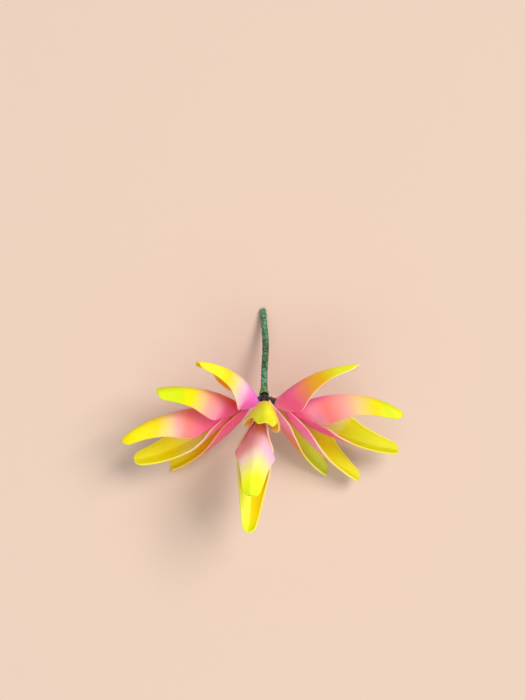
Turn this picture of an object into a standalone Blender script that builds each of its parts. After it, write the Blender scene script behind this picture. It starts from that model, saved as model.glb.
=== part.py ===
"""Heliconia flower pick: three heads of folded foam bracts bound to one taped wire stem.

Metres, +Z up. The flower lies on the surface z = 0, on the cut end of its stem and on the tips of
its two lowest bracts. The origin is on the surface, under the middle of the flower's box.
"""

import math
from collections import namedtuple

import bmesh
import bpy
from mathutils import Matrix, Vector

MM = 0.001

# Where the stem forks into the three heads, and the stem's way from there to its cut end
FORK = Vector((1.5, 16.5, 54.0)) * MM
STEM_ROUTE = [FORK + Vector(p) * MM for p in
              ((0.0, 0.0, 0.0), (0.4, 21.4, -14.0), (1.4, 47.6, -31.5), (-1.0, 76.6, -52.3))]
STEM_STEPS = 6

# Each head has a wire: the three run side by side in the stem and bend away at the fork
WIRE_RADIUS = 0.6 * MM
WIRE_OFFSET = 1.0 * MM
WIRE_TURN = {"left": 150.0, "centre": 270.0, "right": 30.0}
WIRE_BEND = 4.0 * MM
WIRE_PULL = 3.0 * MM
WIRE_BEND_STEPS = 6
WIRE_SIDES = 6
WIRE_INSET = 0.5 * MM

# The green tape round the stem flares into a hem over the fork
STEM_RADIUS = 2.6 * MM
STEM_SIDES = 14
STEM_TAPE = 0.6 * MM
HEM_RADIUS = 3.8 * MM
HEM_LENGTH = 8.0 * MM
HEM_SETBACK = 2.6 * MM
HEM_POWER = 2

# The dark tape wound into a ball over the fork, with a stub and then a sleeve along each rachis
FORK_BALL = 3.4 * MM
FORK_HOLLOW = 2.6 * MM
FORK_MOUTH = 2.0 * MM
FORK_RINGS = 12
STUB_RADIUS = 2.5 * MM
STUB_TIP_RADIUS = 2.2 * MM
STUB_LENGTH = 5.6 * MM
STUB_BORE = 1.2 * MM
RACHIS_RADIUS = 1.9 * MM
RACHIS_TAPE = 0.8 * MM
RACHIS_START = 6.0 * MM
RACHIS_TAIL = 8.0 * MM
RACHIS_SIDES = 12

# Points closer than this are one point, and a route this nearly along X starts sideways along Y
WELD = 0.001 * MM
ALONG_X = 0.9

# The bracts are cut from foam sheet, and each wraps the rachis with its keel this far out
FOAM = 1.6 * MM
BASE_OFFSET = 2.8 * MM

# Form of a bract from its base (0) to its blunt tip (1): half its width on the flat sheet, the
# radius inside its keel, and how many degrees each wall is folded from flat
HALF_WIDTH_MM = [(0.0, 6.5), (0.08, 12.0), (0.16, 17.5), (0.26, 21.8), (0.36, 22.5), (0.48, 20.0),
                 (0.62, 15.5), (0.76, 12.0), (0.90, 8.8), (0.97, 6.6), (1.0, 4.4)]
KEEL_RADIUS_MM = [(0.0, 2.3), (0.08, 4.9), (0.16, 7.0), (0.25, 7.2), (0.40, 5.5), (0.70, 3.5), (1.0, 3.0)]
WALL_ANGLE = [(0.0, 92.0), (0.08, 84.0), (0.16, 70.0), (0.30, 50.0), (0.60, 38.0), (1.0, 28.0)]
# The keel's bend takes no more than this share of the width, and each wall bows by these degrees
KEEL_SHARE = 0.8
WALL_BOW = 12.0
# The base wraps the rachis up to the collar, and the curl grows with this power of the length
COLLAR = 0.22
CURL_POWER = 1.5

# A bract's mesh: rows from base to tip, and columns on the keel and on each wall
ROWS = 14
STEPS_PER_ROW = 6
KEEL_COLUMNS = 4
WALL_COLUMNS = 3

# side is +1 on the upper rank and -1 on the lower rank. along is the place on the rachis and
# length the length of the keel, in millimetres. splay from the rachis, lean to the open side,
# swing round the rachis, curl and twist along the keel and extra fold are degrees. width is a
# multiple of the sheet's width.
Bract = namedtuple("Bract", "side along splay lean swing length curl twist fold width")
Head = namedtuple("Head", "heading rise tilt face bracts")

HEADS = {
    "left": Head(201, 2, 42, -1, [
        Bract(+1, 7, 84, 0, 8, 91, 44, 38, 0, 1.1),
        Bract(-1, 15, 48, -11, 0, 106, 34, 0, 0, 1.0),
        Bract(+1, 24, 64, 10, 4, 92, 38, -6, 0, 0.95),
        Bract(-1, 30, 34, 0, -8, 101, 60, 12, 0, 1.0),
        Bract(+1, 39, 34, 3, 0, 93, 62, 10, 0, 1.0),
    ]),
    "centre": Head(260, 24, 0, 1, [
        Bract(+1, 14, 84, 0, -3, 98, 54, 0, 12, 1.22),
        Bract(-1, 20, 32, 0, -6, 76, 16, 0, 0, 1.0),
        Bract(+1, 27, 53, -2.5, 0, 95, 62, 4, 0, 1.05),
        Bract(-1, 38, -2, -5, 0, 86, 8, 0, 0, 0.86),
    ]),
    "right": Head(-24, 2, -42, 1, [
        Bract(-1, 6, 54, -6, 0, 99, 30, 0, 0, 1.0),
        Bract(+1, 12, 73, -5, 0, 94, 40, 46, 0, 1.05),
        Bract(-1, 21, 42, -4, 3, 99, 30, -5, 0, 1.0),
        Bract(+1, 29, 60, 1, 0, 105, 74, 6, 0, 1.0),
        Bract(-1, 36, 20, -15, 0, 95, 28, 0, 0, 1.0),
    ]),
}

# The pieces that touch the surface, and the block that presses a flat spot into each
RESTING = ("left_bract_2", "right_bract_1", "stem_tape")
SURFACE_BLOCK = Vector((0.4, 0.4, 0.02))

FINISHES = {
    "foam": ((0.93, 0.48, 0.30, 1.0), 0.55, 0.0),
    "green_tape": ((0.10, 0.24, 0.12, 1.0), 0.75, 0.0),
    "dark_tape": ((0.02, 0.03, 0.015, 1.0), 0.65, 0.0),
    "wire": ((0.45, 0.45, 0.44, 1.0), 0.35, 1.0),
}


def clear_scene():
    for old in list(bpy.data.objects):
        bpy.data.objects.remove(old, do_unlink=True)


def add_material(made, finish):
    colour, roughness, metallic = FINISHES[finish]
    look = bpy.data.materials.new(made.name + "_" + finish)
    look.use_nodes = True
    shader = look.node_tree.nodes["Principled BSDF"]
    shader.inputs["Base Color"].default_value = colour
    shader.inputs["Roughness"].default_value = roughness
    shader.inputs["Metallic"].default_value = metallic
    made.data.materials.append(look)


def add_object(name, bm, finish=None):
    """Adds a piece with its finish, or without one a guide that only shapes other pieces."""
    bmesh.ops.recalc_face_normals(bm, faces=bm.faces)
    mesh = bpy.data.meshes.new(name)
    bm.to_mesh(mesh)
    bm.free()
    mesh.shade_smooth()
    made = bpy.data.objects.new(name, mesh)
    bpy.context.collection.objects.link(made)
    if finish:
        add_material(made, finish)
    else:
        made.hide_render = True
        made.display_type = "WIRE"
    return made


def ease(x):
    """Rises smoothly from 0 to 1 as x does."""
    x = min(max(x, 0.0), 1.0)
    return x * x * (3.0 - 2.0 * x)


def read(profile, t):
    """Value at t of the smooth curve through a profile's (place, value) points."""
    last = len(profile) - 2
    i = max((k for k in range(last + 1) if profile[k][0] <= t), default=0)
    slopes = [slope(profile, i), slope(profile, i + 1)]
    (t0, v0), (t1, v1) = profile[i], profile[i + 1]
    span = t1 - t0
    u = (t - t0) / span
    return ((2 * u**3 - 3 * u**2 + 1) * v0 + (3 * u**2 - 2 * u**3) * v1
            + (u**3 - 2 * u**2 + u) * span * slopes[0] + (u**3 - u**2) * span * slopes[1])


def slope(profile, i):
    low, high = max(i - 1, 0), min(i + 1, len(profile) - 1)
    return (profile[high][1] - profile[low][1]) / (profile[high][0] - profile[low][0])


def wall_section(t, bract):
    """Points across one side of a bract at t, as (out from the keel line, into the fold)."""
    hold = ease(t / COLLAR)
    half = read(HALF_WIDTH_MM, t) * MM * (1.0 + (bract.width - 1.0) * hold)
    radius = read(KEEL_RADIUS_MM, t) * MM
    fold = math.radians(read(WALL_ANGLE, t) + bract.fold * hold)
    bow = math.radians(WALL_BOW) * hold
    bend = min(radius * fold, KEEL_SHARE * half)
    fold = bend / radius
    points = []
    for k in range(KEEL_COLUMNS // 2 + 1):
        turn = fold * k / (KEEL_COLUMNS // 2)
        points.append((radius * math.sin(turn), radius * (1.0 - math.cos(turn))))
    start = points[-1]
    for k in range(1, WALL_COLUMNS + 1):
        run = (half - bend) * k / WALL_COLUMNS
        turn = fold + bow * k / WALL_COLUMNS / 2.0
        points.append((start[0] + run * math.cos(turn), start[1] + run * math.sin(turn)))
    return points


def bract_rows(bract, face):
    """Inside face of a bract as rows of points: X along the rachis, Z out over the keel."""
    toward = -bract.side * face
    steps = ROWS * STEPS_PER_ROW
    step = bract.length * MM / steps
    keel = Vector((0.0, 0.0, BASE_OFFSET))
    rows = []
    for i in range(steps + 1):
        t = i / steps
        hold = ease(t / COLLAR)
        splay = math.radians(bract.splay - bract.curl * t**CURL_POWER)
        forward = Vector((math.cos(splay), 0.0, math.sin(splay)))
        inward = Vector((math.sin(splay * hold), 0.0, -math.cos(splay * hold)))
        turn = (Matrix.Rotation(toward * math.radians(bract.lean) * hold, 3, "Z")
                @ Matrix.Rotation(toward * math.radians(bract.twist) * t * hold, 3, forward))
        across, inward, forward = turn @ Vector((0.0, 1.0, 0.0)), turn @ inward, turn @ forward
        if i % STEPS_PER_ROW == 0:
            side = wall_section(t, bract)
            row = [keel - across * y + inward * z for y, z in reversed(side[1:])]
            row += [keel + across * y + inward * z for y, z in side]
            rows.append(row)
        keel = keel + forward * step
    return rows


def sheet(rows):
    """Grid of faces through rows of points."""
    bm = bmesh.new()
    made = bmesh.ops.create_grid(bm, x_segments=len(rows[0]) - 1, y_segments=len(rows) - 1, size=1.0)
    for vert, point in zip(made["verts"], (p for row in rows for p in row)):
        vert.co = point
    return bm


def add_bract(name, bract, face, head):
    bm = sheet(bract_rows(bract, face))
    bmesh.ops.triangulate(bm, faces=bm.faces)
    made = add_object(name, bm, "foam")
    made.parent = head
    made.location = (bract.along * MM, 0.0, 0.0)
    swing = bract.side * face * math.radians(bract.swing)
    made.rotation_euler = (swing if bract.side > 0 else swing + math.pi, 0.0, 0.0)
    thick = made.modifiers.new("foam", "SOLIDIFY")
    thick.thickness = FOAM
    thick.offset = 1.0
    thick.use_even_offset = True
    return made


def smooth_route(points, count):
    """Points along a smooth curve through the given ones."""
    ends = [2 * points[0] - points[1]] + list(points) + [2 * points[-1] - points[-2]]
    route = []
    for a, b, c, d in zip(ends, ends[1:], ends[2:], ends[3:]):
        for k in range(count):
            u = k / count
            route.append(0.5 * (2 * b + (c - a) * u + (2 * a - 5 * b + 4 * c - d) * u**2
                                + (3 * b - a - 3 * c + d) * u**3))
    return route + [points[-1]]


def frames(route):
    """At each point of the route, the point and the ahead, sideways and upward directions."""
    made = []
    sideways = Vector((1.0, 0.0, 0.0))
    for i, point in enumerate(route):
        ahead = (route[min(i + 1, len(route) - 1)] - route[max(i - 1, 0)]).normalized()
        if i == 0 and abs(ahead.x) > ALONG_X:
            sideways = Vector((0.0, 1.0, 0.0))
        sideways = (sideways - ahead * sideways.dot(ahead)).normalized()
        made.append((point, ahead, sideways, ahead.cross(sideways)))
    return made


def beside(frame, distance, turn):
    point, ahead, sideways, upward = frame
    return point + distance * (sideways * math.cos(turn) + upward * math.sin(turn))


def rings(route, radii, sides):
    """A closed ring of points square to the route at each of its points."""
    return [[beside(frame, radius, 2.0 * math.pi * k / sides) for k in range(sides + 1)]
            for frame, radius in zip(frames(route), radii)]


def rod(route, radii, sides):
    """Solid of round section along a route, closed by a cap at each end."""
    bm = sheet(rings(route, radii, sides))
    bmesh.ops.remove_doubles(bm, verts=bm.verts, dist=WELD)
    bmesh.ops.holes_fill(bm, edges=[e for e in bm.edges if e.is_boundary])
    return bm


def sleeve(route, radii, wall, sides):
    """Tube of even wall along a route, open at both ends."""
    outside = rings(route, radii, sides)
    inside = rings(route, [radius - wall for radius in radii], sides)
    bm = sheet(outside + inside[::-1] + outside[:1])
    bmesh.ops.remove_doubles(bm, verts=bm.verts, dist=WELD)
    return bm


def ball(centre, radius):
    bm = bmesh.new()
    bmesh.ops.create_uvsphere(bm, u_segments=2 * FORK_RINGS, v_segments=FORK_RINGS, radius=radius)
    bmesh.ops.translate(bm, verts=bm.verts, vec=centre)
    return bm


def combine(made, guide, operation):
    joined = made.modifiers.new(guide.name, "BOOLEAN")
    joined.operation = operation
    joined.object = guide


def head_frame(head):
    """Turns X along the rachis and Z out over the upper rank."""
    turn = (Matrix.Rotation(math.radians(head.heading), 4, "Z")
            @ Matrix.Rotation(-math.radians(head.rise), 4, "Y")
            @ Matrix.Rotation(math.radians(head.tilt), 4, "X"))
    return Matrix.Translation(FORK) @ turn


def rachis_axis(head):
    return (head_frame(head).to_3x3() @ Vector((1.0, 0.0, 0.0))).normalized()


def rachis_end(head):
    return head.bracts[-1].along * MM + RACHIS_TAIL


def stem_route():
    """The stem's middle line from the hem to the cut end, and the hem's and tape's radii."""
    full = smooth_route(STEM_ROUTE, STEM_STEPS)
    down = (full[1] - full[0]).normalized()
    hem = [HEM_SETBACK + HEM_LENGTH * k / STEM_STEPS for k in range(STEM_STEPS)]
    route = [FORK + down * place for place in hem]
    radii = [STEM_RADIUS + (HEM_RADIUS - STEM_RADIUS) * ease(1.0 - k / STEM_STEPS) ** HEM_POWER
             for k in range(STEM_STEPS)]
    rest = [p for p in full if (p - FORK).length > HEM_SETBACK + HEM_LENGTH]
    return route + rest, radii + [STEM_RADIUS] * len(rest)


def add_wires():
    """One wire to a head, from the stem's cut end round the fork to the end of the rachis."""
    stem = [f for f in frames(smooth_route(STEM_ROUTE, STEM_STEPS)) if (f[0] - FORK).length > WIRE_BEND]
    for name, head in HEADS.items():
        side_by_side = [beside(f, WIRE_OFFSET, math.radians(WIRE_TURN[name])) for f in stem[:-1]]
        end = stem[-1][0] - stem[-1][1] * WIRE_INSET, *stem[-1][1:]
        side_by_side.append(beside(end, WIRE_OFFSET, math.radians(WIRE_TURN[name])))
        axis = rachis_axis(head)
        leave, arrive = side_by_side[0], FORK + axis * WIRE_BEND
        pulls = leave - stem[0][1] * WIRE_PULL, arrive - axis * WIRE_PULL
        bend = []
        for k in range(1, WIRE_BEND_STEPS + 1):
            u = k / WIRE_BEND_STEPS
            bend.append((1 - u)**3 * leave + 3 * (1 - u)**2 * u * pulls[0]
                        + 3 * (1 - u) * u**2 * pulls[1] + u**3 * arrive)
        route = side_by_side[::-1] + bend + [FORK + axis * (rachis_end(head) - WIRE_INSET)]
        add_object(name + "_wire", rod(route, [WIRE_RADIUS] * len(route), WIRE_SIDES), "wire")


def add_fork_tape():
    made = add_object("fork_tape", ball(FORK, FORK_BALL), "dark_tape")
    down = (STEM_ROUTE[1] - STEM_ROUTE[0]).normalized()
    bores = []
    for name, head in HEADS.items():
        axis = rachis_axis(head)
        stub = [FORK, FORK + axis * STUB_LENGTH]
        radii = [STUB_RADIUS, STUB_TIP_RADIUS]
        combine(made, add_object(name + "_stub", rod(stub, radii, RACHIS_SIDES)), "UNION")
        bore = [FORK, FORK + axis * 2.0 * STUB_LENGTH]
        bores.append(add_object(name + "_bore", rod(bore, [STUB_BORE] * 2, RACHIS_SIDES)))
    mouth = [FORK, FORK + down * 2.0 * FORK_BALL]
    bores.append(add_object("fork_mouth", rod(mouth, [FORK_MOUTH] * 2, STEM_SIDES)))
    bores.append(add_object("fork_hollow", ball(FORK, FORK_HOLLOW)))
    for cutter in bores:
        combine(made, cutter, "DIFFERENCE")


def main():
    clear_scene()
    for name, head in HEADS.items():
        empty = bpy.data.objects.new(name + "_head", None)
        bpy.context.collection.objects.link(empty)
        empty.matrix_world = head_frame(head)
        for number, bract in enumerate(head.bracts, 1):
            add_bract("%s_bract_%d" % (name, number), bract, head.face, empty)
        line = [Vector((x, 0.0, 0.0)) for x in (RACHIS_START, rachis_end(head))]
        tape = sleeve(line, [RACHIS_RADIUS] * 2, RACHIS_TAPE, RACHIS_SIDES)
        add_object(name + "_rachis_tape", tape, "dark_tape").parent = empty
    add_wires()
    add_fork_tape()
    route, radii = stem_route()
    add_object("stem_tape", sleeve(route, radii, STEM_TAPE, STEM_SIDES), "green_tape")

    block = bmesh.new()
    bmesh.ops.create_cube(block, size=1.0)
    bmesh.ops.scale(block, verts=block.verts, vec=SURFACE_BLOCK)
    bmesh.ops.translate(block, verts=block.verts, vec=(0.0, 0.0, -SURFACE_BLOCK.z / 2.0))
    surface = add_object("surface", block)
    for name in RESTING:
        combine(bpy.data.objects[name], surface, "DIFFERENCE")


main()
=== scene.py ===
"""Looks of the heliconia flower pick: airbrushed foam bracts, wound tapes, and the surface it lies on.

Metres, +Z up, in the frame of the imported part. The bracts repeat the part's own sizes and folds.
"""

import math
from collections import namedtuple
from itertools import chain

import bmesh
import bpy
from mathutils import Matrix, Vector, noise


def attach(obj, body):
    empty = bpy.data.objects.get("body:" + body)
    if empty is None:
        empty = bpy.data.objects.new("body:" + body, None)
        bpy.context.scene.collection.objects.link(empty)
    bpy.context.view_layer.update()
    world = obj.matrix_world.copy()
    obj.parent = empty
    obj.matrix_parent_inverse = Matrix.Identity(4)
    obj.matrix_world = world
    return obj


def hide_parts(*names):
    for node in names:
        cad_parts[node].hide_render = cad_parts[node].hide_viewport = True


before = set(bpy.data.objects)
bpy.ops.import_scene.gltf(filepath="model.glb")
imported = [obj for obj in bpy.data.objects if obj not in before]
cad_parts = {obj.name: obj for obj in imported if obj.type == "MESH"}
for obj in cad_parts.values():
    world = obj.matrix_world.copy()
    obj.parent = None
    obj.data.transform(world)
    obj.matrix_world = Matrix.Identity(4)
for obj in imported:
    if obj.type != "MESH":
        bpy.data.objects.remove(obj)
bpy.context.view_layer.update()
scene = bpy.context.scene

MM = 0.001

# Where the stem forks into the three heads, and the stem's way from there to its cut end
FORK = Vector((1.5, 16.5, 54.0)) * MM
STEM_ROUTE = [FORK + Vector(p) * MM for p in
              ((0.0, 0.0, 0.0), (0.4, 21.4, -14.0), (1.4, 47.6, -31.5), (-1.0, 76.6, -52.3))]
ROUTE_STEPS = 24

# The stem's green tape, its hem that flares over the fork, and its end that closes a little
STEM_RADIUS = 2.75 * MM
STEM_TAPE = 0.6 * MM
HEM_RADIUS = 4.1 * MM
HEM_LENGTH = 8.0 * MM
HEM_SETBACK = 2.6 * MM
HEM_STRAIGHT = HEM_LENGTH / 4.0
HEM_POWER = 1.2
STEM_CLOSES = 89.0 * MM
STEM_CLOSING = 0.5 * MM
STEM_CLOSING_LENGTH = 4.0 * MM

# A head's sleeve of dark tape starts this far from the fork and ends this far past its last bract
RACHIS_RADIUS = 1.9 * MM
RACHIS_TAPE = 0.8 * MM
RACHIS_START = 6.0 * MM
RACHIS_TAIL = 8.0 * MM

# The tape is wound on in a slant: the pitch of the winding, and the step at each lap, which rises
# over an eighth of a turn
WINDING = 8.5 * MM
LAP = 0.26 * MM
LAP_RISE = 8.0
TUBE_SIDES = 48
TUBE_STEP = 0.5 * MM

# Its wrinkles: folds that slant with the winding, finer ones between them, and the hem's rags
WRINKLE = 0.24 * MM
FOLDS = 1.5
FOLD_SLANT = 1.6
FINE_SIZE = 1.1 * MM
FINE_ROUND = 2.0
FINE_SHARE = 0.6
HEM_CRUMPLE = 0.7 * MM
HEM_RAGS = 2.2
HEM_RAG_LENGTH = 6.0 * TUBE_STEP

# The fork's wound skin: the grain of its mesh, the sizes of its wrinkles, and their smoothing
FORK_GRAIN = 0.22 * MM
FORK_WINDING = 1.2 * MM
FORK_FINE_SIZE = 0.9 * MM
FORK_SMOOTHING = 0.4

# Foam sheet, and the form of a bract from its base (0) to its blunt tip (1)
FOAM = 1.6 * MM
BASE_OFFSET = 2.8 * MM
HALF_WIDTH_MM = [(0.0, 6.5), (0.08, 12.0), (0.16, 17.5), (0.26, 21.8), (0.36, 22.5), (0.48, 20.0),
                 (0.62, 15.5), (0.76, 12.0), (0.90, 8.8), (0.97, 6.6), (1.0, 4.4)]
KEEL_RADIUS_MM = [(0.0, 2.3), (0.08, 4.9), (0.16, 7.0), (0.25, 7.2), (0.40, 5.5), (0.70, 3.5), (1.0, 3.0)]
WALL_ANGLE = [(0.0, 92.0), (0.08, 84.0), (0.16, 70.0), (0.30, 50.0), (0.60, 38.0), (1.0, 28.0)]
KEEL_SHARE = 0.8
WALL_BOW = 12.0
COLLAR = 0.22
CURL_POWER = 1.5

# A bract's fine mesh: rows along it, columns from keel to margin, and steps round its soft rim
ROWS = 84
COLUMNS = 17
RIM_STEPS = 7
RIM_REACH = 0.55 * MM
RIM_SQUARE = 0.55
# The corners of a blunt tip are rounded off over this length, with this many rows
CORNER = 2.8 * MM
CORNER_ROWS = 8

# The sheet isn't quite even: low swells of its face, and waves along its cut margins
SWELL = 0.22 * MM
SWELL_SIZE = 11.0 * MM
WAVER = 0.22 * MM
WAVER_SIZE = 9.0 * MM
MARGINS_APART = 5.0

# Seeds that keep the wrinkles and waves of one piece apart from the next one's
BRACT_SEED = 7.3
STEM_SEED = 3.0
RACHIS_SEED = 11.0

# Points closer than this are one, in a new skin and in the CAD solid's loose triangles
WELD = 0.002 * MM
CAD_WELD = 0.01 * MM

# What each point of a piece says of its place, for the paints: along it from 0 to 1, across it from
# one margin (-1) to the other (1), through it from inner (0) to outer (1), and on a lap from 0 to 1
BRACT_MARKS = ("along", "across", "face")
TUBE_MARKS = ("along", "lap")

Bract = namedtuple("Bract", "side along splay lean swing length curl twist fold width")
Head = namedtuple("Head", "heading rise tilt face bracts")

HEADS = {
    "left": Head(201, 2, 42, -1, [
        Bract(+1, 7, 84, 0, 8, 91, 44, 38, 0, 1.1),
        Bract(-1, 15, 48, -11, 0, 106, 34, 0, 0, 1.0),
        Bract(+1, 24, 64, 10, 4, 92, 38, -6, 0, 0.95),
        Bract(-1, 30, 34, 0, -8, 101, 60, 12, 0, 1.0),
        Bract(+1, 39, 34, 3, 0, 93, 62, 10, 0, 1.0),
    ]),
    "centre": Head(260, 24, 0, 1, [
        Bract(+1, 14, 84, 0, -3, 98, 54, 0, 12, 1.22),
        Bract(-1, 20, 32, 0, -6, 76, 16, 0, 0, 1.0),
        Bract(+1, 27, 53, -2.5, 0, 95, 62, 4, 0, 1.05),
        Bract(-1, 38, -2, -5, 0, 86, 8, 0, 0, 0.86),
    ]),
    "right": Head(-24, 2, -42, 1, [
        Bract(-1, 6, 54, -6, 0, 99, 30, 0, 0, 1.0),
        Bract(+1, 12, 73, -5, 0, 94, 40, 46, 0, 1.05),
        Bract(-1, 21, 42, -4, 3, 99, 30, -5, 0, 1.0),
        Bract(+1, 29, 60, 1, 0, 105, 74, 6, 0, 1.0),
        Bract(-1, 36, 20, -15, 0, 95, 28, 0, 0, 1.0),
    ]),
}

# The airbrush paints, as red, green and blue out of 255
PAINTS = {
    "violet": (252, 132, 226), "lilac": (255, 206, 238), "rose": (255, 116, 164),
    "pink": (255, 162, 186), "crimson": (255, 100, 148), "brick": (252, 124, 148),
    "coral": (255, 136, 130), "salmon": (255, 172, 164), "blush": (255, 214, 206),
    "apricot": (255, 204, 140), "cream": (255, 232, 160), "orange": (254, 170, 56),
    "amber": (254, 190, 0), "gold": (250, 214, 0), "yellow": (248, 227, 0),
    "lemon": (248, 248, 36), "lime": (211, 223, 0), "straw": (252, 230, 116),
    "olive": (232, 218, 0), "pale_lime": (242, 252, 80), "ochre": (244, 160, 30),
    "khaki": (218, 212, 0),
}

# Each bract's paints on its outer and inner face, and on one wall of either where that differs, as
# places from base to tip; on centre_bract_3 and centre_bract_4 that wall's difference is mostly painted
# light and shade
PAINTWORK = {
    "left_bract_1": {
        "outer": [(0.1, "violet"), (0.3, "rose"), (0.42, "salmon"), (0.54, "orange"),
                  (0.7, "yellow"), (1.0, "lemon")],
        "wall": [(0.18, "violet"), (0.36, "lilac"), (0.5, "cream"), (0.64, "yellow"),
                 (0.78, "lemon"), (1.0, "lemon")],
        "inner": [(0.2, "amber"), (1.0, "amber")]},
    "left_bract_2": {
        "outer": [(0.1, "crimson"), (0.4, "brick"), (0.6, "ochre"), (0.8, "amber"), (1.0, "gold")],
        "inner": [(0.06, "coral"), (0.15, "orange"), (0.28, "amber"), (0.6, "amber"),
                  (0.85, "gold"), (1.0, "gold")]},
    "left_bract_3": {
        "outer": [(0.05, "crimson"), (0.15, "rose"), (0.26, "pink"), (0.38, "salmon"),
                  (0.5, "apricot"), (0.6, "yellow"), (0.74, "lime"), (1.0, "lime")],
        "inner": [(0.3, "orange"), (1.0, "gold")]},
    "left_bract_4": {
        "outer": [(0.05, "crimson"), (0.35, "salmon"), (0.6, "gold"), (1.0, "yellow")],
        "inner": [(0.08, "salmon"), (0.17, "apricot"), (0.3, "cream"), (0.46, "straw"),
                  (0.62, "yellow"), (1.0, "khaki")]},
    "left_bract_5": {
        "outer": [(0.08, "crimson"), (0.22, "brick"), (0.33, "coral"), (0.43, "salmon"),
                  (0.52, "apricot"), (0.64, "gold"), (0.82, "yellow"), (1.0, "yellow")],
        "inner": [(0.3, "orange"), (1.0, "gold")]},
    "centre_bract_1": {
        "outer": [(0.1, "salmon"), (0.35, "apricot"), (0.48, "amber"), (0.62, "yellow"),
                  (0.86, "lemon"), (1.0, "olive")],
        "inner": [(0.1, "apricot"), (0.3, "gold"), (0.6, "gold"), (1.0, "yellow")]},
    "centre_bract_2": {
        "outer": [(0.1, "salmon"), (0.25, "apricot"), (0.5, "cream"), (0.75, "yellow")],
        "inner": [(0.05, "apricot"), (0.3, "cream"), (0.6, "straw"), (0.8, "yellow")]},
    # Painted highlight: the lilac wall is mostly light falling on the wall that faces it, and the salmon
    # of the other wall is partly painted shade
    "centre_bract_3": {
        "outer": [(0.02, "coral"), (0.2, "pink"), (0.36, "pink"), (0.48, "salmon"),
                  (0.58, "blush"), (0.68, "cream"), (0.82, "lemon"), (1.0, "lime")],
        "wall": [(0.02, "coral"), (0.18, "pink"), (0.32, "lilac"), (0.46, "lilac"),
                 (0.62, "cream"), (0.8, "lemon"), (1.0, "lime")],
        "inner": [(0.2, "coral"), (0.6, "yellow")]},
    # Painted light and shade: the two inner walls are one yellow, painted pale lime on the lit wall and
    # gold on the shaded one
    "centre_bract_4": {
        "outer": [(0.1, "salmon"), (0.4, "apricot"), (0.6, "yellow"), (1.0, "lemon")],
        "inner": [(0.05, "orange"), (0.3, "amber"), (0.55, "gold"), (0.8, "gold"), (1.0, "lime")],
        "inner_wall": [(0.05, "orange"), (0.3, "straw"), (0.5, "pale_lime"), (0.8, "pale_lime"),
                       (1.0, "lime")]},
    "right_bract_1": {
        "outer": [(0.12, "pink"), (0.3, "coral"), (0.5, "ochre"), (0.75, "pale_lime"),
                  (1.0, "pale_lime")],
        "inner": [(0.1, "salmon"), (0.18, "cream"), (0.34, "straw"), (0.52, "pale_lime"),
                  (1.0, "pale_lime")]},
    "right_bract_2": {
        "outer": [(0.0, "pink"), (0.14, "rose"), (0.26, "rose"), (0.38, "coral"), (0.5, "orange"),
                  (0.64, "amber"), (0.84, "lemon"), (1.0, "lemon")],
        "inner": [(0.2, "salmon"), (0.5, "blush")]},
    "right_bract_3": {
        "outer": [(0.1, "rose"), (0.36, "pink"), (0.55, "apricot"), (0.8, "straw"), (1.0, "olive")],
        "inner": [(0.08, "salmon"), (0.18, "apricot"), (0.3, "straw"), (0.5, "yellow"),
                  (0.7, "olive"), (1.0, "khaki")]},
    "right_bract_4": {
        "outer": [(0.06, "crimson"), (0.18, "pink"), (0.34, "coral"), (0.5, "salmon"),
                  (0.63, "apricot"), (0.74, "gold"), (0.88, "lime"), (1.0, "yellow")],
        "wall": [(0.06, "rose"), (0.2, "violet"), (0.36, "pink"), (0.48, "salmon"),
                 (0.58, "apricot"), (0.7, "gold"), (0.84, "lime"), (1.0, "yellow")],
        "inner": [(0.3, "salmon"), (0.6, "gold")]},
    "right_bract_5": {
        "outer": [(0.16, "crimson"), (0.32, "brick"), (0.46, "ochre"), (0.6, "amber"), (1.0, "yellow")],
        "inner": [(0.2, "apricot"), (0.32, "cream"), (0.44, "olive"), (0.66, "khaki"), (0.9, "khaki")]},
}

# The bands of paint drift and ripple along a bract, and reach further up it at its margins
DRIFT = 0.10
DRIFT_SIZE = 14 * MM
RIPPLE = 0.035
RIPPLE_SIZE = 2.2 * MM
BAND_REACH = 0.07

# The marks between which one paint of a bract gives way to the next: over its rim, and over its keel
FACES_MEET = (0.25, 0.75)
OUTER_WALLS_MEET = (-0.35, 0.35)
INNER_WALLS_MEET = (-0.12, 0.12)

# Inside a bract, painted shade darkens a faint line along the crease of the keel and a line just inside
# each margin
INNER_SIDE = (0.0, 0.25)
KEEL_SHADE = (0.0, 0.10)
KEEL_SHADE_SIDE = (0.0, 0.3)
KEEL_SHADE_DEPTH = 0.25
MARGIN_SHADE_STARTS = (0.80, 0.87)
MARGIN_SHADE_ENDS = (0.88, 0.94)
MARGIN_SHADE_DEPTH = 0.30

# The cut rim shows the paler foam under the paint, and less of it towards the tip; the same pale foam
# colour is also laid on as a painted highlight along the inside of each margin
CUT_FOAM = (255, 242, 205)
CUT_EDGE = (0.04, 0.30)
MARGIN_HIGHLIGHT = (0.92, 0.98)
MARGIN_HIGHLIGHT_SHARE = 0.5
CUT_SHOWS = 0.30
CUT_FADES = (0.45, 0.75)
CUT_FADING = 0.16

# Light soaks through the thin foam and leaves it on the other side
FOAM_GLOW = {"Subsurface Weight": 0.6, "Subsurface Scale": 2.5 * MM, "Subsurface Radius": (1.0, 1.0, 1.0),
             "Specular IOR Level": 0.25}

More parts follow.
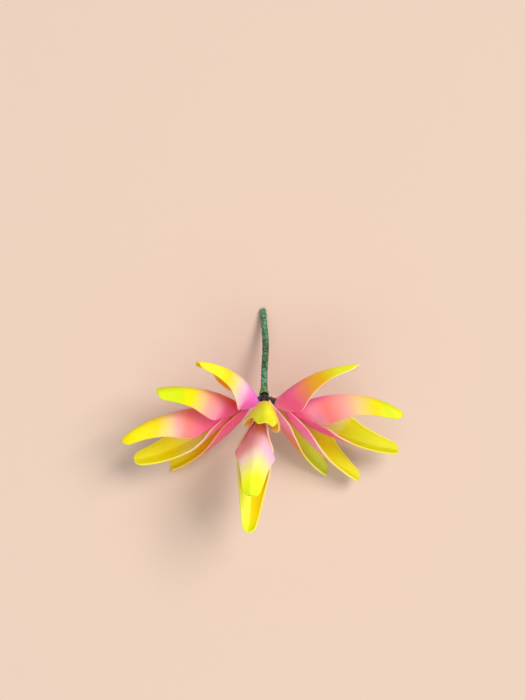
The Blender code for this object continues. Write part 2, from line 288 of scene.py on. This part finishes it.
# The tapes' colours from the hollows of their crinkles (0) to the tops (1): the tapes' own greens, with
# painted shade in the hollows and a painted highlight on the tops; and the painted shade at the edge of a
# lap
GREEN_TAPE_SHADE_TO_LIGHT = [(0.0, (22, 36, 14)), (0.5, (50, 82, 40)), (1.0, (92, 140, 84))]
PALE_TAPE_SHADE_TO_LIGHT = [(0.0, (44, 84, 52)), (1.0, (136, 208, 170))]
HEM_TAPE_SHADE_TO_LIGHT = [(0.0, (66, 92, 40)), (1.0, (140, 184, 120))]
DARK_TAPE_SHADE_TO_SHEEN = [(0.0, (10, 12, 8)), (0.6, (26, 30, 20)), (1.0, (72, 78, 58))]
LAP_SHADE = (22, 32, 14)
CREASE_SIZE = 0.6 * MM

# Along the stem's tape: where its hem ends, where it is paler, and the painted shade at the edge of each
# lap
HEM_ENDS = (0.06, 0.09)
NEAR_FORK_STARTS = (0.07, 0.10)
NEAR_FORK_ENDS = (0.22, 0.30)
OUTER_THIRD = (0.62, 0.64)
LAP_EDGE = (0.0, 0.09)

DULL_WIRE = (150, 150, 146)
BRIGHT_WIRE = (196, 196, 192)

# The photo's view, straight down: the camera's height, its place beside the fork, and how much of
# the surface one pixel of the frame covers
CAMERA_HEIGHT = 1.4
CAMERA_BESIDE_FORK = (-0.0013, 0.0407)
FRAME_PIXELS = 700
PIXEL = 0.0009
CAMERA_NEAR = 0.05

FLOOR_REACH = 3.0
FLOOR_PAPER = (221, 191, 172)
FLOOR_ROUGHNESS = 0.8
SKY_COLOUR = (0.82, 0.95, 1.0, 1.0)
SKY_STRENGTH = 0.39


def linear(paint):
    """The shader's colour for red, green and blue out of 255, by the usual screen curve."""
    shares = [part / 255.0 for part in paint]
    return tuple(s / 12.92 if s <= 0.04045 else ((s + 0.055) / 1.055) ** 2.4 for s in shares) + (1.0,)


def ease(x):
    """Rises smoothly from 0 to 1 as x does."""
    x = min(max(x, 0.0), 1.0)
    return x * x * (3.0 - 2.0 * x)


def read(profile, t):
    """Value at t of the smooth curve through a profile's (place, value) points."""
    last = len(profile) - 2
    i = max((k for k in range(last + 1) if profile[k][0] <= t), default=0)
    slopes = [slope(profile, i), slope(profile, i + 1)]
    (t0, v0), (t1, v1) = profile[i], profile[i + 1]
    span = t1 - t0
    u = (t - t0) / span
    return ((2 * u**3 - 3 * u**2 + 1) * v0 + (3 * u**2 - 2 * u**3) * v1
            + (u**3 - 2 * u**2 + u) * span * slopes[0] + (u**3 - u**2) * span * slopes[1])


def slope(profile, i):
    """How steep a profile's curve is at its point i."""
    low, high = max(i - 1, 0), min(i + 1, len(profile) - 1)
    return (profile[high][1] - profile[low][1]) / (profile[high][0] - profile[low][0])


class Field:
    """A shader socket that takes arithmetic."""

    def __init__(self, look, socket):
        self.look, self.socket = look, socket

    def math(self, operation, *terms):
        return self.look.add("ShaderNodeMath", {"operation": operation}, dict(enumerate(terms)))

    def __add__(self, other):
        return self.math("ADD", self, other)

    def __radd__(self, other):
        return self.math("ADD", other, self)

    def __sub__(self, other):
        return self.math("SUBTRACT", self, other)

    def __rsub__(self, other):
        return self.math("SUBTRACT", other, self)

    def __mul__(self, other):
        return self.math("MULTIPLY", self, other)

    def __rmul__(self, other):
        return self.math("MULTIPLY", other, self)

    def __abs__(self):
        return self.math("ABSOLUTE", self)

    def above(self, low, high):
        """0 up to low, 1 from high, and smooth between."""
        return self.look.add("ShaderNodeMapRange", {"interpolation_type": "SMOOTHSTEP"},
                             {"Value": self, "From Min": low, "From Max": high})


class Look:
    """A material in the making."""

    def __init__(self, name):
        self.material = bpy.data.materials.new(name)
        self.material.use_nodes = True
        self.nodes = self.material.node_tree.nodes
        self.links = self.material.node_tree.links
        self.shader = self.nodes["Principled BSDF"]

    def join(self, value, socket):
        if isinstance(value, Field):
            self.links.new(value.socket, socket)
        else:
            socket.default_value = value

    def add(self, kind, settings=None, inputs=None, out=0):
        """A node with its settings, then its inputs, as the field of one of its outputs."""
        node = self.nodes.new(kind)
        for name, value in (settings or {}).items():
            if name == "stops":
                ramp = node.color_ramp
                while len(ramp.elements) < len(value):
                    ramp.elements.new(0.5)
                for element, (place, colour) in zip(ramp.elements, value):
                    element.position, element.color = place, colour
            else:
                setattr(node, name, value)
        for name, value in (inputs or {}).items():
            self.join(value, node.inputs[name])
        return Field(self, node.outputs[out])

    def attribute(self, name):
        return self.add("ShaderNodeAttribute", {"attribute_name": name}, out="Fac")

    def ramp(self, place, paints):
        """Colour at this place of a row of (place, paint) stops."""
        stops = [(at, linear(paint)) for at, paint in paints]
        return self.add("ShaderNodeValToRGB", {"stops": stops}, {"Fac": place}, out="Color")

    def mix(self, factor, a, b, blend="MIX"):
        """Colour a where factor is 0 and b where it is 1."""
        return self.add("ShaderNodeMix", {"data_type": "RGBA", "blend_type": blend},
                        {0: factor, 6: a, 7: b}, out=2)

    def noise(self, size, detail=2.0, roughness=0.5):
        """Even noise from 0 to 1, with grains of this size."""
        where = self.add("ShaderNodeTexCoord", out="Object")
        inputs = {"Vector": where, "Scale": 1.0 / size, "Detail": detail, "Roughness": roughness}
        return self.add("ShaderNodeTexNoise", None, inputs, out="Fac")

    def finish(self, colour, roughness, height=None, depth=1.0, constants=None):
        """The material, with its bumps from a height of 0 to 1 and the constants of its shader."""
        self.join(colour, self.shader.inputs["Base Color"])
        self.join(roughness, self.shader.inputs["Roughness"])
        if height is not None:
            bump = self.add("ShaderNodeBump", None, {"Height": height, "Distance": depth}, out="Normal")
            self.join(bump, self.shader.inputs["Normal"])
        for name, value in (constants or {}).items():
            self.shader.inputs[name].default_value = value
        return self.material


def foam_look(name, paintwork):
    """Foam sheet airbrushed along its length, with painted shade along its inner keel and inside its
    margins, a painted highlight along the inner margins beside its paler cut rim, and a fine grain.
    """
    look = Look(name + "_foam")
    along, across, face = (look.attribute(mark) for mark in BRACT_MARKS)
    from_keel = abs(across)
    drift = (look.noise(DRIFT_SIZE) - 0.5) * DRIFT + (look.noise(RIPPLE_SIZE) - 0.5) * RIPPLE
    place = along + drift - across * across * BAND_REACH

    def painted(part):
        return look.ramp(place, [(at, PAINTS[paint]) for at, paint in paintwork[part]])

    outside, inside = painted("outer"), painted("inner")
    # On centre_bract_3 and centre_bract_4 these wall paints are painted light and shade on the walls that
    # face towards and away from the light
    if "wall" in paintwork:
        outside = look.mix(across.above(*OUTER_WALLS_MEET), outside, painted("wall"))
    if "inner_wall" in paintwork:
        inside = look.mix(across.above(*INNER_WALLS_MEET), inside, painted("inner_wall"))
    colour = look.mix(face.above(*FACES_MEET), inside, outside)

    # Painted shade: the crease along the keel inside, and a line just inside each margin, are darkened
    # towards ochre
    shade = linear(PAINTS["ochre"])
    keel_shade = (1.0 - from_keel.above(*KEEL_SHADE)) * (1.0 - face.above(*KEEL_SHADE_SIDE))
    colour = look.mix(keel_shade * KEEL_SHADE_DEPTH, colour, shade, "MULTIPLY")
    inner_side = 1.0 - face.above(*INNER_SIDE)
    margin_shade = from_keel.above(*MARGIN_SHADE_STARTS) * (1.0 - from_keel.above(*MARGIN_SHADE_ENDS)) * inner_side
    colour = look.mix(margin_shade * MARGIN_SHADE_DEPTH, colour, shade, "MULTIPLY")

    # Painted highlight along the inner face next to each margin, added to the paler cut foam of the rim
    margin = from_keel.above(*MARGIN_HIGHLIGHT) * inner_side * MARGIN_HIGHLIGHT_SHARE
    cut = (0.5 - abs(face - 0.5)).above(*CUT_EDGE) + margin
    rim = cut * (CUT_SHOWS - along.above(*CUT_FADES) * CUT_FADING)
    colour = look.mix(rim, colour, linear(CUT_FOAM))

    speckle = look.noise(0.9 * MM, detail=3.0)
    grain = look.noise(0.35 * MM, detail=3.0, roughness=0.6)
    dimples = look.noise(3.5 * MM)
    return look.finish(colour, roughness=0.55 + (speckle - 0.5) * 0.2, height=grain * 0.5 + dimples,
                       depth=0.12 * MM, constants=FOAM_GLOW)


def green_look():
    """Waxed paper tape, crinkled and patchy green, paler near the fork and along its outer third, with
    painted shade in the hollows of its crinkles, a painted highlight on their tops and painted shade at
    the edge of each lap.
    """
    look = Look("green_tape_wound")
    along, lap = (look.attribute(mark) for mark in TUBE_MARKS)
    crinkle_height = look.noise(1.9 * MM, detail=5.0, roughness=0.68).above(0.36, 0.64)
    patches = look.noise(6.0 * MM).above(0.38, 0.62)
    near_fork = along.above(*NEAR_FORK_STARTS) * (1.0 - along.above(*NEAR_FORK_ENDS))
    pale = patches * 0.25 + along.above(*OUTER_THIRD) * 0.35 + near_fork * 0.5
    # Painted shade and highlight: the greens run dark in the hollows of the crinkles and light on their
    # tops
    colour = look.mix(pale, look.ramp(crinkle_height, GREEN_TAPE_SHADE_TO_LIGHT), look.ramp(crinkle_height, PALE_TAPE_SHADE_TO_LIGHT))
    hem = (1.0 - along.above(*HEM_ENDS)) * 0.6
    colour = look.mix(hem, colour, look.ramp(crinkle_height, HEM_TAPE_SHADE_TO_LIGHT))
    # Painted shade at the step of each lap
    edge = (1.0 - lap.above(*LAP_EDGE)) * 0.75
    colour = look.mix(edge, colour, linear(LAP_SHADE))
    creases = look.noise(CREASE_SIZE, detail=3.0)
    return look.finish(colour, roughness=0.45 + (crinkle_height - 0.5) * 0.16, height=creases * 0.5 + crinkle_height,
                       depth=0.30 * MM, constants={"Specular IOR Level": 0.35})


def dark_look():
    """Green-black tape with a gloss along its wrinkles, painted darker in their hollows and with a
    painted sheen on their tops.
    """
    look = Look("dark_tape_wound")
    crinkle_height = look.noise(1.3 * MM, detail=4.0, roughness=0.6)
    # Painted shade in the hollows of the wrinkles and a painted sheen on their tops
    colour = look.ramp(crinkle_height.above(0.35, 0.72), DARK_TAPE_SHADE_TO_SHEEN)
    creases = look.noise(CREASE_SIZE, detail=3.0)
    return look.finish(colour, roughness=0.26 + (crinkle_height - 0.5) * 0.3, height=creases + crinkle_height * 2.0,
                       depth=0.4 * MM)


def wire_look():
    """Plain drawn wire with a faint haze."""
    look = Look("plain_wire")
    haze = look.noise(0.8 * MM, detail=3.0)
    colour = look.mix(haze, linear(DULL_WIRE), linear(BRIGHT_WIRE))
    return look.finish(colour, roughness=0.30 + haze * 0.2, height=haze, depth=0.02 * MM,
                       constants={"Metallic": 1.0})


def row_places(length):
    """Places of a bract's rows from base to tip, close together round the tip's corners."""
    corner = 1.0 - CORNER / length
    turns = [math.pi / 2.0 * k / CORNER_ROWS for k in range(CORNER_ROWS + 1)]
    return ([corner * k / ROWS for k in range(ROWS)]
            + [corner + (1.0 - corner) * math.sin(turn) for turn in turns])


def bract_lines(bract, face):
    """Each row's place, the keel's point there, and the across and inward directions from it."""
    toward = -bract.side * face
    keel = Vector((0.0, 0.0, BASE_OFFSET))
    places = row_places(bract.length * MM)
    lines = []
    for t, after in zip(places, places[1:] + places[-1:]):
        hold = ease(t / COLLAR)
        splay = math.radians(bract.splay - bract.curl * t**CURL_POWER)
        forward = Vector((math.cos(splay), 0.0, math.sin(splay)))
        inward = Vector((math.sin(splay * hold), 0.0, -math.cos(splay * hold)))
        turn = (Matrix.Rotation(toward * math.radians(bract.lean) * hold, 3, "Z")
                @ Matrix.Rotation(toward * math.radians(bract.twist) * t * hold, 3, forward))
        lines.append((t, keel, turn @ Vector((0.0, 1.0, 0.0)), turn @ inward))
        keel = keel + turn @ forward * (after - t) * bract.length * MM
    return lines


def wall_point(t, bract, share, half):
    """Point of one wall at this share of its width, as (out from the keel line, into the fold)."""
    hold = ease(t / COLLAR)
    radius = read(KEEL_RADIUS_MM, t) * MM
    fold = math.radians(read(WALL_ANGLE, t) + bract.fold * hold)
    bow = math.radians(WALL_BOW) * hold
    bend = min(radius * fold, KEEL_SHARE * half)
    fold = bend / radius
    run = share * half
    if run <= bend:
        return radius * math.sin(run / radius), radius * (1.0 - math.cos(run / radius))
    turn = fold + bow * (run - bend) / (half - bend) / 2.0
    return (radius * math.sin(fold) + (run - bend) * math.cos(turn),
            radius * (1.0 - math.cos(fold)) + (run - bend) * math.sin(turn))


def inner_face(bract, face, seed):
    """Rows of points on the inside of a bract's fold, from one margin over the keel to the other."""
    rows = []
    for t, keel, across, inward in bract_lines(bract, face):
        hold = ease(t / COLLAR)
        width = read(HALF_WIDTH_MM, t) * MM * (1.0 + (bract.width - 1.0) * hold)
        from_corner = 1.0 - min((1.0 - t) * bract.length * MM / CORNER, 1.0)
        rounded_off = CORNER * (1.0 - math.sqrt(1.0 - from_corner**2))
        row = []
        for column in range(-COLUMNS, COLUMNS + 1):
            side = 1.0 if column > 0 else -1.0
            sway = noise.noise(Vector((t * bract.length * MM / WAVER_SIZE, side * MARGINS_APART, seed)))
            half = width + (WAVER * sway * hold - RIM_REACH - rounded_off)
            y, z = wall_point(t, bract, abs(column) / COLUMNS, half)
            row.append(keel + across * side * y + inward * z)
        rows.append(row)
    return rows


def outward(rows, j, i):
    """Direction out of the fold at one point of its inner face."""
    ahead = rows[min(j + 1, len(rows) - 1)][i] - rows[max(j - 1, 0)][i]
    beside = rows[j][min(i + 1, len(rows[0]) - 1)] - rows[j][max(i - 1, 0)]
    return ahead.cross(beside).normalized()


def squared(turn):
    """Points round a soft square corner: how far out and how far up at this turn from the middle."""
    out, up = math.cos(turn), math.sin(turn)
    return abs(out) ** RIM_SQUARE, math.copysign(abs(up) ** RIM_SQUARE, up)


def bract_rings(bract, face, seed):
    """Closed rings round a bract from base to tip, and the marks of their points."""
    rows = inner_face(bract, face, seed)
    places = row_places(bract.length * MM)
    last_row, last_column = len(rows) - 1, 2 * COLUMNS
    # A ring's row, how far it lies past that row, and how much of the sheet's thickness it keeps
    lips = [squared(math.pi * k / (2 * RIM_STEPS)) for k in range(1, RIM_STEPS + 1)]
    stations = [(0, -RIM_REACH * reach, flat) for flat, reach in lips[::-1]]
    stations += [(j, 0.0, 1.0) for j in range(len(rows))]
    stations += [(last_row, RIM_REACH * reach, flat) for flat, reach in lips]
    # A point's column, how far it lies past the margin, and its height from inner (-1) to outer (1)
    rim = [squared(math.pi * (k / (2 * RIM_STEPS) - 0.5)) for k in range(1, 2 * RIM_STEPS)]
    around = [(i, 0.0, -1.0) for i in range(last_column + 1)]
    around += [(last_column, out * RIM_REACH, up) for out, up in rim]
    around += [(i, 0.0, 1.0) for i in range(last_column, -1, -1)]
    around += [(0, out * RIM_REACH, up) for out, up in rim[::-1]]
    around += around[:1]
    rings, marks = [], []
    for j, past_row, flat in stations:
        row, swell = rows[j], SWELL * ease(places[j] / COLLAR)
        ahead = rows[min(j + 1, last_row)][COLUMNS] - rows[max(j - 1, 0)][COLUMNS]
        step = ahead.normalized() * past_row
        ring = []
        for i, past_margin, up in around:
            edge = (row[i] - row[i - 1 if i else 1]).normalized() * past_margin
            sag = swell * noise.noise(row[i] / SWELL_SIZE + Vector((seed, 0.0, 0.0)))
            depth = FOAM / 2.0 * (1.0 + up * flat) + sag
            ring.append(row[i] + step + edge + outward(rows, j, i) * depth)
        rings.append(ring)
        marks.append([(places[j], i / COLUMNS - 1.0, 0.5 + 0.5 * up * flat) for i, _, up in around])
    return rings, marks


def head_frame(head):
    """Turns X along the rachis and Z out over the upper rank."""
    turn = (Matrix.Rotation(math.radians(head.heading), 4, "Z")
            @ Matrix.Rotation(-math.radians(head.rise), 4, "Y")
            @ Matrix.Rotation(math.radians(head.tilt), 4, "X"))
    return Matrix.Translation(FORK) @ turn


def placed(name, bm):
    """The bmesh as an object in the scene."""
    mesh = bpy.data.meshes.new(name)
    bm.to_mesh(mesh)
    bm.free()
    piece = bpy.data.objects.new(name, mesh)
    scene.collection.objects.link(piece)
    return piece


def ringed(name, rings, labels, marks):
    """A piece from closed rings of points, none below the surface, that keeps their marks."""
    bm = bmesh.new()
    layers = [bm.verts.layers.float.new(label) for label in labels]
    made = bmesh.ops.create_grid(bm, x_segments=len(rings[0]) - 1, y_segments=len(rings) - 1, size=1.0)
    for vert, point, values in zip(made["verts"], chain(*rings), chain(*marks)):
        vert.co = (point.x, point.y, max(point.z, 0.0))
        for layer, value in zip(layers, values):
            vert[layer] = value
    bmesh.ops.remove_doubles(bm, verts=bm.verts, dist=WELD)
    bmesh.ops.holes_fill(bm, edges=[e for e in bm.edges if e.is_boundary])
    bmesh.ops.recalc_face_normals(bm, faces=bm.faces)
    return placed(name, bm)


def dress(piece, material, node):
    """Gives a piece its material and the place of its CAD node."""
    piece.data.shade_smooth()
    piece.data.materials.append(material)
    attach(piece, "root")
    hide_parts(node)


def smooth_route(points, count):
    """Points along a smooth curve through the given ones, this many from each to the next."""
    ends = [2 * points[0] - points[1]] + list(points) + [2 * points[-1] - points[-2]]
    route = []
    for a, b, c, d in zip(ends, ends[1:], ends[2:], ends[3:]):
        for k in range(count):
            u = k / count
            route.append(0.5 * (2 * b + (c - a) * u + (2 * a - 5 * b + 4 * c - d) * u**2
                                + (3 * b - a - 3 * c + d) * u**3))
    return route + [points[-1]]


def evenly(route, step):
    """Points about this far apart along a route, from its first point to its last, and its length."""
    lengths = [0.0]
    for a, b in zip(route, route[1:]):
        lengths.append(lengths[-1] + (b - a).length)
    count = max(int(lengths[-1] / step), 2)
    points, i = [], 0
    for k in range(count + 1):
        place = lengths[-1] * k / count
        while i < len(route) - 2 and lengths[i + 1] < place:
            i += 1
        points.append(route[i].lerp(route[i + 1], (place - lengths[i]) / (lengths[i + 1] - lengths[i])))
    return points, lengths[-1]


def wound_tube(name, route, outside, wall, seed, crumple=0.0):
    """Tube of wound tape. outside gives its radius from how far along the route a point is."""
    points, length = evenly(route, TUBE_STEP)
    sideways = Vector((0.0, 0.0, 1.0))
    outer, inner, marks = [], [], []
    for k, point in enumerate(points):
        ahead = (points[min(k + 1, len(points) - 1)] - points[max(k - 1, 0)]).normalized()
        sideways = (sideways - ahead * sideways.dot(ahead)).normalized()
        upward = ahead.cross(sideways)
        place = length * k / (len(points) - 1)
        skin, bore, laps = [], [], []
        for n in range(TUBE_SIDES + 1):
            turn = 2.0 * math.pi * (n % TUBE_SIDES) / TUBE_SIDES
            way = sideways * math.cos(turn) + upward * math.sin(turn)
            lap = (place / WINDING + turn / (2.0 * math.pi)) % 1.0
            slanted = Vector((math.cos(turn), math.sin(turn), FOLD_SLANT * lap)) * FOLDS
            fold = noise.noise(slanted + Vector((seed, 0.0, place / WINDING)))
            fine = noise.noise(point / FINE_SIZE + way * FINE_ROUND)
            radius = (outside(place) + LAP * (ease(lap * LAP_RISE) * (1.0 - lap))
                      + WRINKLE * (fold + FINE_SHARE * fine))
            ragged = crumple * noise.noise(Vector((math.cos(turn), math.sin(turn), seed)) * HEM_RAGS)
            shift = ahead * ragged * max(1.0 - place / HEM_RAG_LENGTH, 0.0)
            skin.append(point + way * radius + shift)
            bore.append(point + way * (outside(place) - wall) + shift)
            laps.append((place / length, lap))
        outer.append(skin)
        inner.append(bore)
        marks.append(laps)
    return ringed(name, outer + inner[::-1] + outer[:1], TUBE_MARKS, marks + marks[::-1] + marks[:1])


def stem_radius(place):
    """The hem flares over the fork, and the tape closes a little over the cut end."""
    flare = (HEM_RADIUS - STEM_RADIUS) * ease(1.0 - place / HEM_LENGTH) ** HEM_POWER
    return STEM_RADIUS + flare - STEM_CLOSING * ease((place - STEM_CLOSES) / STEM_CLOSING_LENGTH)


def add_bracts():
    """The folded bracts of the three heads, from the fork outwards."""
    seed = 0.0
    for head_name, head in HEADS.items():
        for number, bract in enumerate(head.bracts, 1):
            node = "%s_bract_%d" % (head_name, number)
            seed += BRACT_SEED
            swing = bract.side * head.face * math.radians(bract.swing)
            place = (head_frame(head) @ Matrix.Translation((bract.along * MM, 0.0, 0.0))
                     @ Matrix.Rotation(swing if bract.side > 0 else swing + math.pi, 4, "X"))
            rings, marks = bract_rings(bract, head.face, seed)
            rings = [[place @ p for p in ring] for ring in rings]
            piece = ringed(node + "_foam", rings, BRACT_MARKS, marks)
            dress(piece, foam_look(node, PAINTWORK[node]), node)


def add_tapes(dark):
    """The green tape round the stem, and a sleeve of dark tape along each head."""
    route = smooth_route(STEM_ROUTE, ROUTE_STEPS)
    down = (route[1] - route[0]).normalized()
    start = FORK + down * HEM_SETBACK
    route = [start] + [p for p in route if (p - FORK).length > HEM_SETBACK + HEM_STRAIGHT]
    stem = wound_tube("stem_tape_wound", route, stem_radius, STEM_TAPE, STEM_SEED, HEM_CRUMPLE)
    dress(stem, green_look(), "stem_tape")
    for number, (name, head) in enumerate(HEADS.items()):
        axis = (head_frame(head).to_3x3() @ Vector((1.0, 0.0, 0.0))).normalized()
        ends = [FORK + axis * RACHIS_START, FORK + axis * (head.bracts[-1].along * MM + RACHIS_TAIL)]
        tape = wound_tube(name + "_rachis_wound", ends, lambda place: RACHIS_RADIUS, RACHIS_TAPE,
                          RACHIS_SEED * number)
        dress(tape, dark, name + "_rachis_tape")


def add_fork(dark):
    """The ball of dark tape over the fork, with the CAD solid's arms and bores and a wrinkled skin."""
    bm = bmesh.new()
    bm.from_mesh(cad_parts["fork_tape"].data)
    bmesh.ops.remove_doubles(bm, verts=bm.verts, dist=CAD_WELD)
    form = placed("fork_form", bm)
    even = form.modifiers.new("even", "REMESH")
    even.mode = "VOXEL"
    even.voxel_size = FORK_GRAIN
    bpy.context.view_layer.update()
    skin = bpy.data.meshes.new_from_object(form.evaluated_get(bpy.context.evaluated_depsgraph_get()))
    bpy.data.objects.remove(form)
    bm = bmesh.new()
    bm.from_mesh(skin)
    for vert in bm.verts:
        turn = math.atan2(vert.co.x - FORK.x, vert.co.y - FORK.y)
        winding = Vector((math.cos(turn), math.sin(turn), vert.co.z / FORK_WINDING))
        vert.co += vert.normal * WRINKLE * (noise.noise(winding) + noise.noise(vert.co / FORK_FINE_SIZE))
    bmesh.ops.smooth_vert(bm, verts=bm.verts, factor=FORK_SMOOTHING,
                          use_axis_x=True, use_axis_y=True, use_axis_z=True)
    dress(placed("fork_tape_wound", bm), dark, "fork_tape")


def softbox(name, aim, distance, size, energy, colour):
    """A square light that faces the flower from this direction."""
    light = bpy.data.lights.new(name, "AREA")
    light.size, light.energy, light.color = size, energy, colour
    lamp = bpy.data.objects.new(name, light)
    scene.collection.objects.link(lamp)
    aim = Vector(aim).normalized()
    lamp.location = aim * distance
    lamp.rotation_euler = aim.to_track_quat("Z", "Y").to_euler()


add_bracts()
dark_tape = dark_look()
add_tapes(dark_tape)
add_fork(dark_tape)
bare_wire = wire_look()
for head_name in HEADS:
    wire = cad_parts[head_name + "_wire"]
    wire.data.materials.clear()
    wire.data.materials.append(bare_wire)

floor_bm = bmesh.new()
bmesh.ops.create_grid(floor_bm, x_segments=1, y_segments=1, size=FLOOR_REACH)
floor = placed("floor", floor_bm)
floor.data.materials.append(Look("floor_paper").finish(linear(FLOOR_PAPER), FLOOR_ROUGHNESS))

camera = bpy.data.objects.new("camera", bpy.data.cameras.new("camera"))
scene.collection.objects.link(camera)
camera.location = (FORK.x + CAMERA_BESIDE_FORK[0], FORK.y + CAMERA_BESIDE_FORK[1], CAMERA_HEIGHT)
camera.data.sensor_fit = "VERTICAL"
camera.data.angle = 2.0 * math.atan(FRAME_PIXELS * PIXEL / 2.0 / CAMERA_HEIGHT)
camera.data.clip_start = CAMERA_NEAR
scene.camera = camera

softbox("key", aim=(0.50, 0.38, 1.0), distance=10.0, size=4.6, energy=755.0,
        colour=(1.0, 0.985, 0.965))
softbox("overhead", aim=(-0.10, -0.40, 1.0), distance=3.0, size=2.2, energy=31.5,
        colour=(0.94, 1.0, 1.0))

world = bpy.data.worlds.new("studio")
scene.world = world
world.use_nodes = True
sky = world.node_tree.nodes["Background"]
sky.inputs["Color"].default_value = SKY_COLOUR
sky.inputs["Strength"].default_value = SKY_STRENGTH
scene.view_settings.view_transform = "Standard"
